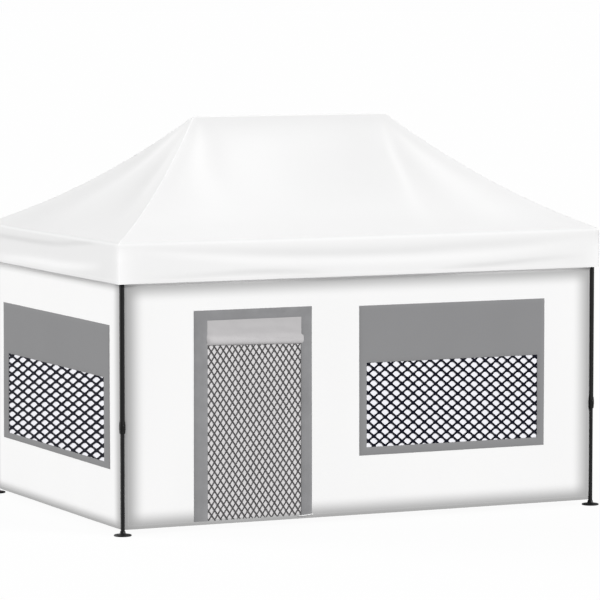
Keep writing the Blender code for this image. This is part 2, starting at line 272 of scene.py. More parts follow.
def rounded_bar(name, centre, half, low, high, radius):
    """A square bar round an upright axis, with its upright edges rounded, open at both ends."""
    start = Vector((centre[0] - half, centre[1] - half, low))
    end = Vector((centre[0] + half, centre[1] + half, high))
    clear_selection()
    bpy.ops.mesh.primitive_cube_add(size=1, location=(start + end) / 2)
    bar = newly_made(name)
    bar.scale = end - start
    set_down(bar)

    def is_upright(edge):
        one, two = (bar.data.vertices[k].co for k in edge.vertices)
        return abs(one.z - two.z) > 1e-5

    with editing(bar, "FACE", lambda face: abs(face.normal.z) > 0.5):
        bpy.ops.mesh.delete(type="FACE")
    with editing(bar, "EDGE", is_upright):
        bpy.ops.mesh.bevel(offset=radius, segments=3, affect="EDGES")
    return bar


def turned(name, rings, sides, centre):
    """A piece turned round an upright axis: a disc at the first (radius, z) ring, extruded and
    resized to each of the next ones."""
    clear_selection()
    radius, z = rings[0]
    bpy.ops.mesh.primitive_circle_add(
        vertices=sides, radius=radius, fill_type="NGON", location=(*centre, z)
    )
    piece = newly_made(name)
    set_down(piece)
    with editing(piece):
        for (radius, z), (next_radius, next_z) in zip(rings, rings[1:]):
            bpy.ops.mesh.extrude_region_move(TRANSFORM_OT_translate={"value": (0, 0, next_z - z)})
            ratio = next_radius / radius
            bpy.ops.transform.resize(value=(ratio, ratio, 1), center_override=(*centre, next_z))
        bpy.ops.mesh.select_all(action="SELECT")
        bpy.ops.mesh.normals_make_consistent(inside=False)
    return piece


# Finishes

def add_node(tree, kind, **settings):
    node = tree.nodes.new("ShaderNode" + kind)
    for setting, value in settings.items():
        setattr(node, setting, value)
    return node


def set_inputs(node, **values):
    for name, value in values.items():
        node.inputs[name.replace("_", " ")].default_value = value
    return node


def new_finish(name, slot, roughness, specular=0.5, metallic=0.0, sheen=0.0):
    """A plain finish; the slot it is given is not used."""
    material = bpy.data.materials.new(name)
    material.use_nodes = True
    tree = material.node_tree
    shader = set_inputs(
        tree.nodes["Principled BSDF"], Roughness=roughness, Specular_IOR_Level=specular,
        Metallic=metallic, Sheen_Weight=sheen,
    )
    return material, tree, shader


def bumped(tree, texture, place, strength, depth, normal):
    """Relief from a texture, fed into a normal socket."""
    tree.links.new(place, texture.inputs["Vector"])
    bump = set_inputs(add_node(tree, "Bump"), Strength=strength, Distance=depth)
    tree.links.new(texture.outputs["Fac"], bump.inputs["Height"])
    tree.links.new(bump.outputs["Normal"], normal)


def object_place(tree):
    return add_node(tree, "TexCoord").outputs["Object"]


def mottled(tree, place, colour, spread, scale):
    """The colour, varied lighter and darker by spread in soft patches."""
    patches = set_inputs(add_node(tree, "TexNoise"), Scale=scale, Detail=3.0, Roughness=0.55)
    tree.links.new(place, patches.inputs["Vector"])
    ramp = add_node(tree, "ValToRGB")
    for stop, position, share in zip(ramp.color_ramp.elements, (0.3, 0.7), (1 - spread, 1 + spread)):
        stop.position = position
        stop.color = (*[min(1, part * share) for part in colour], 1)
    tree.links.new(patches.outputs["Fac"], ramp.inputs["Fac"])
    return ramp.outputs["Color"]


def woven(tree, thread, depth, strength):
    """A plain weave's relief, along the cloth: threads both ways, over and under."""
    lay = add_node(tree, "UVMap", uv_map="cloth").outputs["UV"]
    both = add_node(tree, "Math", operation="MULTIPLY")
    for k, direction in enumerate("XY"):
        wave = add_node(tree, "TexWave", wave_type="BANDS", bands_direction=direction)
        set_inputs(wave, Scale=1.0 / (thread * 20), Distortion=0.6, Detail=1.0)
        tree.links.new(lay, wave.inputs["Vector"])
        tree.links.new(wave.outputs["Fac"], both.inputs[k])
    weave = set_inputs(add_node(tree, "Bump"), Strength=strength, Distance=depth)
    tree.links.new(both.outputs[0], weave.inputs["Height"])
    return weave


def scaled_by(tree, colour, attribute, least, most, low=0.0, high=1.0):
    """The colour, multiplied by least to most as the sheet's attribute goes from low to high."""
    shade = add_node(tree, "Attribute", attribute_name=attribute)
    span = add_node(tree, "MapRange", interpolation_type="LINEAR")
    set_inputs(span, From_Min=low, From_Max=high, To_Min=least, To_Max=most)
    tree.links.new(shade.outputs["Fac"], span.inputs["Value"])
    scale = add_node(tree, "VectorMath", operation="SCALE")
    tree.links.new(colour, scale.inputs[0])
    tree.links.new(span.outputs["Result"], scale.inputs["Scale"])
    return scale.outputs["Vector"]


def cloth_finish(name, slot, look, colour, patches, weave, creases, tone=()):
    """Woven polyester. Its look is roughness, specular level and sheen, its patches are spread and
    scale, its weave is thread, depth and strength, its handling creases are scale, strength and
    depth, and its tone, if it has one, is as scaled_by takes it."""
    roughness, specular, sheen = look
    material, tree, shader = new_finish(name, slot, roughness, specular, sheen=sheen)
    place = object_place(tree)
    shade = mottled(tree, place, colour, *patches)
    if tone:
        shade = scaled_by(tree, shade, *tone)
    tree.links.new(shade, shader.inputs["Base Color"])
    relief = woven(tree, *weave)
    scale, strength, depth = creases
    handled = set_inputs(add_node(tree, "TexNoise"), Scale=scale, Detail=4.0, Roughness=0.5)
    bumped(tree, handled, place, strength, depth, relief.inputs["Normal"])
    tree.links.new(relief.outputs["Normal"], shader.inputs["Normal"])
    return material


def with_painted_glow(material):
    """Makes a wall's cloth glow just under the valance: painted light that lightens the valance's shadow
    there.
    """
    tree = material.node_tree
    shader = tree.nodes["Principled BSDF"]
    light = add_node(tree, "Attribute", attribute_name="painted_valance_glow")
    shader.inputs["Emission Color"].default_value = (1, 1, 1, 1)
    tree.links.new(light.outputs["Fac"], shader.inputs["Emission Strength"])
    return material


def cord_finish(name, colour):
    """Twisted cord."""
    material, tree, shader = new_finish(name, "black_netting", 0.85, 0.15)
    place = object_place(tree)
    tree.links.new(mottled(tree, place, colour, 0.25, 60.0), shader.inputs["Base Color"])
    twist = add_node(tree, "TexWave", wave_type="BANDS", bands_direction="DIAGONAL")
    set_inputs(twist, Scale=60.0, Distortion=2.0)
    bumped(tree, twist, place, 0.35, 0.0006, shader.inputs["Normal"])
    return material


def plain_finish(name, slot, look, colour, patches, grain=()):
    """Film, paint, plastic or metal. Its look is roughness, specular level and metallic, its patches
    are spread and scale, and its grain, if it has one, is scale, detail, strength and depth."""
    material, tree, shader = new_finish(name, slot, *look)
    place = object_place(tree)
    tree.links.new(mottled(tree, place, colour, *patches), shader.inputs["Base Color"])
    if grain:
        scale, detail, strength, depth = grain
        grains = set_inputs(add_node(tree, "TexNoise"), Scale=scale, Detail=detail)
        bumped(tree, grains, place, strength, depth, shader.inputs["Normal"])
    return material


# What a wall's colour is multiplied by where the painted shade at its edges is darkest, and the blind's
# roll where it is palest
EDGE_PAINTED_SHADE_DARKEST = 0.44
ROLL_LIGHTER = 1.075

# The canopy's colour is scaled by its painted light and shade
CANOPY_WHITE = cloth_finish(
    "white canopy polyester", "white_polyester", (0.62, 0.25, 0.08), (0.911, 0.910, 0.910), (0.006, 1.3),
    (0.0009, 0.0001, 0.25), (7.0, 0.12, 0.004), ("canopy_painted_light", 0.8, 1.2, -0.2, 0.2),
)
# The wall's cloth is darkened by painted shade at its edges, and glows with painted light just under the
# valance
WALL_WHITE = with_painted_glow(cloth_finish(
    "white wall polyester", "white_polyester", (0.66, 0.25, 0.05), (0.943, 0.941, 0.940), (0.003, 0.9),
    (0.0009, 0.0001, 0.2), (5.0, 0.08, 0.003), ("painted_edge_shade", 1.0, EDGE_PAINTED_SHADE_DARKEST),
))
WINDOW_GREY = cloth_finish(
    "grey window polyester", "grey_polyester", (0.78, 0.25, 0.04), (0.262, 0.262, 0.268), (0.012, 2.0),
    (0.0011, 0.00014, 0.3), (16.0, 0.06, 0.003),
)
SIDE_WINDOW_GREY = cloth_finish(
    "grey side window polyester", "grey_polyester", (0.78, 0.25, 0.04), (0.243, 0.243, 0.248),
    (0.012, 2.0), (0.0011, 0.00014, 0.3), (16.0, 0.06, 0.003),
)
DOOR_GREY = cloth_finish(
    "grey door polyester", "grey_polyester", (0.78, 0.25, 0.04), (0.270, 0.270, 0.277), (0.07, 7.0),
    (0.0011, 0.00014, 0.3), (16.0, 0.3, 0.003),
)
BLIND_GREY = cloth_finish(
    "light grey blind", "light_grey_strip", (0.70, 0.5, 0.06), (0.500, 0.488, 0.494), (0.015, 9.0),
    (0.0011, 0.0001, 0.2), (22.0, 0.25, 0.004), ("roll_tone", 1.0, ROLL_LIGHTER),
)
WINDOW_CORD = cord_finish("black window netting", (0.0020, 0.0025, 0.0100))
DOOR_CORD = cord_finish("dark grey door netting", (0.088, 0.085, 0.087))
WINDOW_BACKING = plain_finish(
    "white window backing", "white_polyester", (0.5,), (0.935, 0.935, 0.985), (0.02, 3.0)
)
DOOR_BACKING = plain_finish(
    "pale door backing", "white_polyester", (0.5,), (0.704, 0.688, 0.693), (0.02, 3.0)
)
POWDER_COAT = plain_finish(
    "black powder coat", "black_powder_coat", (0.42, 0.24), (0.010, 0.010, 0.0105), (0.15, 9.0),
    (900.0, 2.0, 0.25, 0.0003),
)
NYLON = plain_finish(
    "black nylon", "black_nylon", (0.55, 0.15), (0.009, 0.009, 0.009), (0.2, 30.0),
    (1500.0, 1.0, 0.2, 0.0002),
)
BUTTON_STEEL = plain_finish(
    "blackened steel", "black_powder_coat", (0.4, 0.5, 1.0), (0.050, 0.050, 0.052), (0.1, 80.0)
)


def dress(piece, material, body="tent"):
    """Gives a piece its finish and the body it moves with."""
    piece.data.materials.clear()
    piece.data.materials.append(material)
    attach(piece, body)


def gather_with_legs(piece):
    """Gives the piece its own copy of its mesh."""
    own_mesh(piece)


# Canopy

def eased(share):
    """0 to 1 with a soft start and a soft end."""
    share = min(1.0, max(0.0, share))
    return share * share * (3 - 2 * share)


def bell(distance, width):
    """1 at no distance, and less and less past the width."""
    return math.exp(-((distance / width) ** 2))


def through(stops, at):
    """Values at one place of a smooth curve through the stops, each (place, value, value, ...)."""
    if at <= stops[0][0]:
        return stops[0][1:]
    if at >= stops[-1][0]:
        return stops[-1][1:]
    k = max(j for j in range(len(stops) - 1) if stops[j][0] <= at)
    here, there = stops[k], stops[k + 1]
    before = stops[max(0, k - 1)]
    after = stops[min(len(stops) - 1, k + 2)]
    span = there[0] - here[0]
    t = (at - here[0]) / span
    values = []
    for j in range(1, len(here)):
        lead_in = (there[j] - before[j]) / (there[0] - before[0]) * span
        lead_out = (after[j] - here[j]) / (after[0] - here[0]) * span
        values.append(
            (2 * t**3 - 3 * t**2 + 1) * here[j]
            + (t**3 - 2 * t**2 + t) * lead_in
            + (3 * t**2 - 2 * t**3) * there[j]
            + (t**3 - t**2) * lead_out
        )
    return values


def leaning(at, middle, tilt, width):
    """Height of cloth that leans over by tilt along a line, and less and less beside it."""
    return -tilt * width * math.sqrt(math.pi) / 2 * math.erf((at - middle) / width)


class Side:
    """One side of the canopy, with its way out and its way along, from left to right as seen from
    outside. Each of its folds is a line of leaning cloth: stops down the slope (row, share of the way
    across, lean to the right, width in metres). Each of its waves is one on the valance: stops along
    it (share across, share of the way down, lean upwards, share of the drop that it takes)."""

    def __init__(self, name, outward, folds, waves, painted_tones):
        self.name = name
        self.outward = Vector((*outward, 0))
        self.along = Vector((-outward[1], outward[0], 0))
        self.is_long = outward[0] == 0
        self.folds = folds
        self.waves = waves
        self.painted_tones = painted_tones

    def reach(self, share):
        if self.is_long:
            return CANOPY_Y * share
        return RIDGE_HALF + (CANOPY_X - RIDGE_HALF) * share

    def half(self, share):
        if self.is_long:
            return RIDGE_HALF + (CANOPY_X - RIDGE_HALF) * share
        return CANOPY_Y * share

    def slope_normal(self):
        run = CANOPY_Y if self.is_long else CANOPY_X - RIDGE_HALF
        rise = RIDGE - EAVE
        return (self.outward * rise + Vector((0, 0, run))).normalized()

    def folds_at(self, across, row):
        half = self.half(row)
        total = 0.0
        for fold in self.folds:
            middle, tilt, width = through(fold, row)
            total += leaning(across * half, middle * half, tilt, width)
        return total

    def fold_relief(self, across, row):
        """Height of the folds that run down from the peaks, less the cloth's sag between the hips."""
        left, right = self.folds_at(-1.0, row), self.folds_at(1.0, row)
        folds = self.folds_at(across, row) - left - (right - left) * (across + 1) / 2
        sag = SLOPE_SAG * math.sin(math.pi * row) * (1 - across * across)
        return folds * min(1.0, row / FOLDS_FROM) - sag

    def wave_relief(self, across, drop):
        """How far the valance's soft waves stand out at a share of the way down it."""
        total = 0.0
        for wave in self.waves:
            middle, tilt, width = through(wave, across)
            total += leaning(0.0, middle, tilt, width) - leaning(drop, middle, tilt, width)
        return total * VALANCE_DROP

    def corner_pull(self, across, drop):
        """How the nearest corner of the hem is pulled aside, here."""
        corner = self.outward + self.along * math.copysign(1, across)
        pull = CORNER_PULLS[(round(corner.x), round(corner.y))]
        fade = math.exp(-self.from_corner(across) / CORNER_REACH)
        return Vector((*pull, 0)) * eased(drop / 0.5) * fade

    def from_corner(self, across):
        """How far along the valance its nearest corner is."""
        return self.half(1.0) * (1 - abs(across))

    def point(self, across, row):
        """A point of the cloth: rows from 0 to 1 go down the slope, and from 1 to 2 down the valance.
        The cloth turns over the eave in a soft bend."""
        bend_start, bend_end = 1 - EAVE_BEND[0], 1 + EAVE_BEND[1]
        if not bend_start < row < bend_end:
            return self.unbent_point(across, row)
        if row <= 1:
            t = 0.5 * (row - bend_start) / EAVE_BEND[0]
        else:
            t = 0.5 + 0.5 * (row - 1) / EAVE_BEND[1]
        start, corner, end = (self.unbent_point(across, at) for at in (bend_start, 1.0, bend_end))
        return start * (1 - t) ** 2 + corner * (2 * t * (1 - t)) + end * t**2

    def unbent_point(self, across, row):
        if row <= 1:
            height = EAVE + (RIDGE - EAVE) * (1 - row) * (1 - ROOF_HOLLOW * row)
            place = self.outward * self.reach(row) + self.along * (across * self.half(row))
            place += Vector((0, 0, height))
            return place + self.slope_normal() * self.fold_relief(across, row)
        drop = row - 1
        proud = HEM_PROUD if drop > HEM_ROW else 0.0
        out = self.reach(1.0) + self.wave_relief(across, drop) + proud
        place = self.outward * out + self.along * (across * self.half(1.0))
        place += Vector((0, 0, EAVE - VALANCE_DROP * drop))
        return place + self.corner_pull(across, drop)

    def tone(self, across, row):
        """How much painted light and shade lighten or darken the cloth here: painted shade towards the
        ridge, above the eave and in its bend, a painted grade against the slope's own shading, painted
        light and shade on the flanks of the folds and of the valance's waves, a painted highlight along
        the hips and at the ends' valance corners, and a little darker along the hem."""
        middle, grade, at_ridge, near_eave, in_bend, valance = self.painted_tones
        at_eave = middle + grade / 2 + near_eave
        if row > 1:
            total = valance + (at_eave - valance) * bell(row - 1, EAVE_FADE)
            total += in_bend * bell(row - 1, BEND_SHADE[1])
            total += HEM_TONE * eased((row - 1 - HEM_ROW) / HEM_EASE)
            if not self.is_long:
                total += CORNER_PAINTED_HIGHLIGHT * bell(self.from_corner(across), CORNER_WIDTH)
            for wave in self.waves:
                place, tilt, width = through(wave, across)
                total += WAVE_PAINTED_LIGHT * tilt * bell(row - 1 - place, width)
            return total
        half = self.half(row)
        total = middle + grade * (row - 0.5) + at_ridge * bell(row, RIDGE_SHADE)
        total += near_eave * eased((row - EAVE_STRIP) / EAVE_STRIP_EASE)
        total += in_bend * bell(1 - row, BEND_SHADE[0])
        total += HIP_PAINTED_HIGHLIGHT * bell(half * (1 - abs(across)), HIP_WIDTH) * (1 - row)
        for fold in self.folds:
            place, tilt, width = through(fold, row)
            lit = tilt if self.is_long else -tilt
            total += FOLD_PAINTED_LIGHT * lit * bell((across - place) * half, width)
        return total


SLOPE_SAG = 0.014
# The row where the folds, which start at the ridge, are at their full height
FOLDS_FROM = 0.04
VALANCE_HEM = 0.028
HEM_ROW = 1 - VALANCE_HEM / VALANCE_DROP
HEM_PROUD = 0.0005
HEM_TONE = -0.010

# How much of the slope and of the valance the bend at the eave takes up, in rows
EAVE_BEND = (0.014, 0.080)

# How far the hem's corners are pulled aside, in X and Y, and how far along the valance that reaches
CORNER_PULLS = {
    (-1, -1): (-0.009, -0.013),
    (1, -1): (0.008, 0.009),
    (1, 1): (0.009, 0.013),
    (-1, 1): (-0.008, -0.009),
}
CORNER_REACH = 0.07

# How much paler a painted highlight makes an end's valance at its corners, and how far that reaches
CORNER_PAINTED_HIGHLIGHT = 0.055
CORNER_WIDTH = 0.06

LONG_FOLDS = [
    # the broad fold down from the left peak, and the hollows on both sides of it
    [(0.02, -0.95, 0.02, 0.03), (0.1, -0.88, 0.06, 0.04), (0.3, -0.81, 0.09, 0.09),
     (0.6, -0.68, 0.05, 0.17), (1, -0.62, 0, 0.3)],
    [(0.05, -0.95, 0, 0.03), (0.2, -0.925, -0.03, 0.04), (0.4, -0.93, -0.04, 0.06),
     (0.7, -0.93, -0.015, 0.09), (1, -0.93, 0, 0.1)],
    [(0.03, -0.85, 0, 0.04), (0.1, -0.76, -0.03, 0.06), (0.2, -0.7, -0.045, 0.08),
     (0.4, -0.64, -0.015, 0.08), (0.55, -0.62, 0, 0.08)],
    # the middle, which leans a little to the right on its left half and to the left on its right half
    [(0.05, -0.45, 0, 0.25), (0.2, -0.45, 0.045, 0.3), (0.35, -0.43, 0.065, 0.35),
     (0.6, -0.42, 0.05, 0.45), (1, -0.4, 0, 0.5)],
    [(0.05, 0.5, 0, 0.3), (0.2, 0.45, -0.04, 0.35), (0.4, 0.35, -0.03, 0.35), (0.7, 0.22, 0, 0.3)],
    # the sharp fold down from the right peak, the hollow beyond it and the broad fold before the hip
    [(0.03, 0.89, 0.02, 0.02), (0.1, 0.8, 0.07, 0.025), (0.2, 0.685, 0.11, 0.035), (0.3, 0.6, 0.13, 0.04),
     (0.5, 0.475, 0.115, 0.05), (0.75, 0.36, 0.055, 0.09), (1, 0.3, 0, 0.12)],
    [(0.05, 0.9, 0, 0.03), (0.2, 0.77, -0.04, 0.06), (0.3, 0.69, -0.045, 0.08), (0.5, 0.6, -0.035, 0.1),
     (0.75, 0.52, -0.01, 0.12), (1, 0.5, 0, 0.12)],
    [(0.05, 0.93, 0, 0.03), (0.2, 0.85, 0.065, 0.07), (0.4, 0.79, 0.11, 0.13), (0.6, 0.745, 0.095, 0.19),
     (0.8, 0.705, 0.065, 0.24), (1, 0.65, 0, 0.28)],
    [(0.03, 0.94, 0, 0.03), (0.15, 0.925, -0.07, 0.05), (0.3, 0.925, -0.05, 0.08),
     (0.5, 0.945, -0.03, 0.09), (0.9, 0.96, -0.03, 0.1), (1, 0.96, 0, 0.1)],
]
END_FOLDS = [
    [(0.05, -0.8, 0, 0.04), (0.15, -0.8, 0.15, 0.06), (0.4, -0.75, 0.11, 0.17), (0.7, -0.75, 0.09, 0.27),
     (1, -0.75, 0.02, 0.35)],
    [(0.05, -0.25, 0, 0.05), (0.15, -0.3, -0.11, 0.07), (0.35, -0.27, -0.13, 0.13),
     (0.6, -0.34, -0.085, 0.24), (0.8, -0.28, -0.045, 0.34), (1, -0.2, 0, 0.42)],
    [(0.05, 0.4, 0, 0.05), (0.2, 0.42, 0.055, 0.08), (0.45, 0.43, 0.11, 0.14), (0.7, 0.47, 0.06, 0.24),
     (1, 0.5, 0, 0.3)],
    [(0.1, 0.65, 0, 0.04), (0.2, 0.66, -0.04, 0.05), (0.45, 0.71, -0.06, 0.08), (0.65, 0.76, -0.05, 0.12),
     (1, 0.8, 0, 0.16)],
]
LONG_WAVES = [
    # the rounding at the eave, then the long hollow and the swag below it
    [(-1, 0.02, 0, 0.12), (-0.7, 0.02, 0.08, 0.12), (-0.2, 0.02, 0.14, 0.12), (0.3, 0.02, 0.14, 0.12),
     (0.75, 0.02, 0.06, 0.12), (1, 0.02, 0, 0.12)],
    [(-1, 0.1, 0, 0.1), (-0.8, 0.17, -0.05, 0.1), (-0.6, 0.24, -0.085, 0.11), (-0.4, 0.32, -0.125, 0.12),
     (-0.1, 0.395, -0.15, 0.12), (0.2, 0.39, -0.15, 0.12), (0.4, 0.33, -0.13, 0.12),
     (0.6, 0.29, -0.115, 0.12), (0.8, 0.21, -0.07, 0.1), (1, 0.12, 0, 0.1)],
    [(-0.95, 0.22, 0, 0.09), (-0.8, 0.31, 0.06, 0.09), (-0.6, 0.44, 0.1, 0.1), (-0.4, 0.54, 0.12, 0.11),
     (-0.1, 0.6, 0.14, 0.12), (0.3, 0.61, 0.145, 0.12), (0.5, 0.57, 0.125, 0.11), (0.7, 0.49, 0.09, 0.1),
     (0.85, 0.38, 0.03, 0.09), (1, 0.3, 0, 0.09)],
    # two short creases low on the valance
    [(-0.95, 0.92, 0, 0.07), (-0.7, 0.85, -0.12, 0.07), (-0.45, 0.8, -0.24, 0.07),
     (-0.3, 0.82, -0.15, 0.07), (-0.15, 0.88, 0, 0.07)],
    [(0.25, 0.92, 0, 0.07), (0.4, 0.86, -0.2, 0.07), (0.55, 0.82, -0.26, 0.07), (0.7, 0.76, -0.21, 0.07),
     (0.85, 0.7, -0.1, 0.07), (0.95, 0.68, 0, 0.07)],
]
END_WAVES = [
    [(-1, 0.31, 0, 0.07), (-0.8, 0.31, -0.25, 0.07), (-0.1, 0.29, -0.28, 0.07), (0.15, 0.24, -0.22, 0.07),
     (0.35, 0.17, -0.24, 0.06), (0.55, 0.11, -0.2, 0.05), (0.75, 0.05, 0, 0.05)],
    [(-1, 0.88, 0, 0.1), (-0.7, 0.85, 0.2, 0.1), (-0.3, 0.8, 0.3, 0.1), (0.1, 0.79, 0.33, 0.1),
     (0.35, 0.75, 0.28, 0.1), (0.6, 0.68, 0.15, 0.1), (0.8, 0.62, 0, 0.1)],
]
# Painted light and shade: the tone at the middle of a slope, darker on the ends as painted shade, how
# much it rises to the eave, what the ridge, the strip above the eave and the eave's bend add as painted
# shade, and the valance's tone
LONG_PAINTED_TONES = (-0.029, 0.035, -0.055, -0.022, -0.030, -0.015)
END_PAINTED_TONES = (-0.038, -0.010, -0.030, -0.012, -0.060, -0.090)
# How much painted light and shade the folds add on their flanks, as they lean towards or away from the
# lamps
FOLD_PAINTED_LIGHT = 0.19
# and the painted light and shade on the valance's waves, as they lean upwards or downwards
WAVE_PAINTED_LIGHT = 0.05
# How much paler a painted highlight makes the cloth along the hips
HIP_PAINTED_HIGHLIGHT = 0.018

# How far each painted tone reaches, in rows: down from the ridge, where the strip above the eave starts
# and how soon it is full, the bend on the slope and on the valance, the eave's tone on the valance, and
# the hem
RIDGE_SHADE = 0.10
EAVE_STRIP = 0.70
EAVE_STRIP_EASE = 0.25
BEND_SHADE = (0.009, 0.050)
EAVE_FADE = 0.06
HEM_EASE = 0.02
# and in metres, beside a hip
HIP_WIDTH = 0.022

# Length down a slope: a long side's and an end's for the cloth's area, and one for its UV map
SLOPE_RUN = 1.9

SEAM_WIDTH = 0.020
SEAM_CLOTH = 0.0009

SIDES = [
    Side("front", (0, -1), LONG_FOLDS, LONG_WAVES, LONG_PAINTED_TONES),
    Side("right", (1, 0), END_FOLDS, END_WAVES, END_PAINTED_TONES),
    Side("back", (0, 1), LONG_FOLDS, LONG_WAVES, LONG_PAINTED_TONES),
    Side("left", (-1, 0), END_FOLDS, END_WAVES, END_PAINTED_TONES),
]


def canopy_rows():
    """Lines down the cloth, closer together at the peaks, the eave and the hem."""
    hem = 1 + HEM_ROW
    rows = [0.0, 0.008, 0.02, 0.035]
    rows += stations(0.055, 0.96, 0.024)
    rows += [0.970, 0.978, 0.985, 0.989, 0.993, 0.997]
    rows += stations(1.0, hem - 0.008, 0.024, (1.016, 1.032, 1.048, 1.064, 1.080))
    rows += [hem - 0.003, hem, hem + 0.004, hem + 0.007, 1.960, 1.985, 2.0]
    return rows


def columns_of(side):
    """Lines across one side of the canopy, closest together where its folds are sharp."""
    ends = (-0.995, -0.985, 0.985, 0.995)
    if not side.is_long:
        return stations(-1.0, 1.0, 0.026, ends)
    columns = stations(-1.0, -0.6, 0.014, ends)
    columns += stations(-0.6, 0.25, 0.028)[1:]
    return columns + stations(0.25, 1.0, 0.012, ends)[1:]


def canopy():
    """Slopes and valance sewn into one sheet. Its UV map is remade in metres."""
    rows = canopy_rows()
    quarters = []
    for side in SIDES:
        painted_tones = {"canopy_painted_light": side.tone}
        quarter = cloth_grid("canopy_" + side.name, columns_of(side), rows, side.point, painted_tones)
        half = side.half(1.0)
        for corner in quarter.data.uv_layers["cloth"].data:
            across, row = corner.uv
            down = row * SLOPE_RUN if row <= 1 else SLOPE_RUN + (row - 1) * VALANCE_DROP
            corner.uv = (across * half, -down)
        quarters.append(quarter)
    sheet = join("canopy", quarters, within=0.0004)
    face_outwards(sheet, lambda centre: Vector((centre.x * 0.3, centre.y * 0.5, 1.0)))
    thicken(sheet, CANOPY_CLOTH)
    smooth(sheet, 40)
    dress(sheet, CANOPY_WHITE)
    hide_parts("roof_front", "roof_back", "roof_left", "roof_right", "valance")
    return sheet


def felled_seam(name, across, down, point, upward):
    band = cloth_grid(name, across, down, point)
    face_outwards(band, lambda centre: upward)
    thicken(band, SEAM_CLOTH)
    smooth(band, 50)
    dress(band, CANOPY_WHITE)
    return band


def hip_seam(name, first, second):
    """A felled seam over the line where the canopy's first side ends and its second one starts, down
    to the hem."""
    half_width = SEAM_WIDTH / 2
    diagonal = first.outward + second.outward

    def point(sideways, row):
        side, end = (first, 1) if sideways <= 0 else (second, -1)
        half = side.half(min(row, 1.0))
        inset = min(0.5, abs(sideways) / max(half, SEAM_WIDTH))
        outward = side.outward if row > 1 else side.slope_normal()
        lift = (outward + diagonal.normalized() * 0.4).normalized() * SEAM_CLOTH
        return side.point(end * (1 - inset), row) + lift

    widths = [-half_width, -half_width * 0.55, 0.0, half_width * 0.55, half_width]
    rows = [row for row in canopy_rows() if row >= 0.008]
    return felled_seam(name, widths, rows, point, diagonal + Vector((0, 0, 1)))


def ridge_seam():
    half_width = SEAM_WIDTH / 2
    front, back = SIDES[0], SIDES[2]

    def point(along, sideways):
        share = abs(sideways) / CANOPY_Y
        side, turn = (front, 1) if sideways <= 0 else (back, -1)
        return side.point(turn * along / side.half(share), share) + Vector((0, 0, SEAM_CLOTH))

    lengths = stations(-RIDGE_HALF, RIDGE_HALF, 0.06)
    widths = [-half_width, -half_width / 2, 0.0, half_width / 2, half_width]
    return felled_seam("ridge_seam", lengths, widths, point, Vector((0, 0, 1)))


def canopy_seams():
    front, right, back, left = SIDES
    return [
        hip_seam("hip_seam_front_left", left, front),
        hip_seam("hip_seam_front_right", front, right),
        hip_seam("hip_seam_back_right", right, back),
        hip_seam("hip_seam_back_left", back, left),
        ridge_seam(),
    ]


# Walls

# How far the painted shade at a wall's edges reaches in from its sides, its hem and the valance, and how
# deep
LONG_PAINTED_SHADE_FADES = ((0.185, 1.0), (0.165, 1.0), (0.165, 0.97))
END_PAINTED_SHADE_FADES = ((0.155, 0.85), (0.100, 1.0), (0.085, 0.85))
# How far down from the valance its own shadow does the darkening instead of the painted shade
VALANCE_SHADOW = 0.034

# How deep a wall tucks in beside the legs and at its hem, and how soon that fades
LEG_TUCK = (0.010, 0.045)
HEM_TUCK = (0.006, 0.05)
# and how far from the legs and the eave it hangs free
FREE_OF_LEG = 0.20
FREE_OF_EAVE = 0.35
# A free wall's billows and ripples: how far they stand out, and how many to a metre along and up
BILLOWS = ((0.009, 0.75, 0.6), (0.0025, 2.6, 0.5))
# and how far out it hangs without them
WALL_PROUD = 0.002

# How strongly a wall glows with painted light just under the valance's hem, lightening its shadow there,
# and how far down the glow reaches
LONG_PAINTED_GLOW = 0.16
END_PAINTED_GLOW = 0.09
PAINTED_GLOW_REACH = 0.016


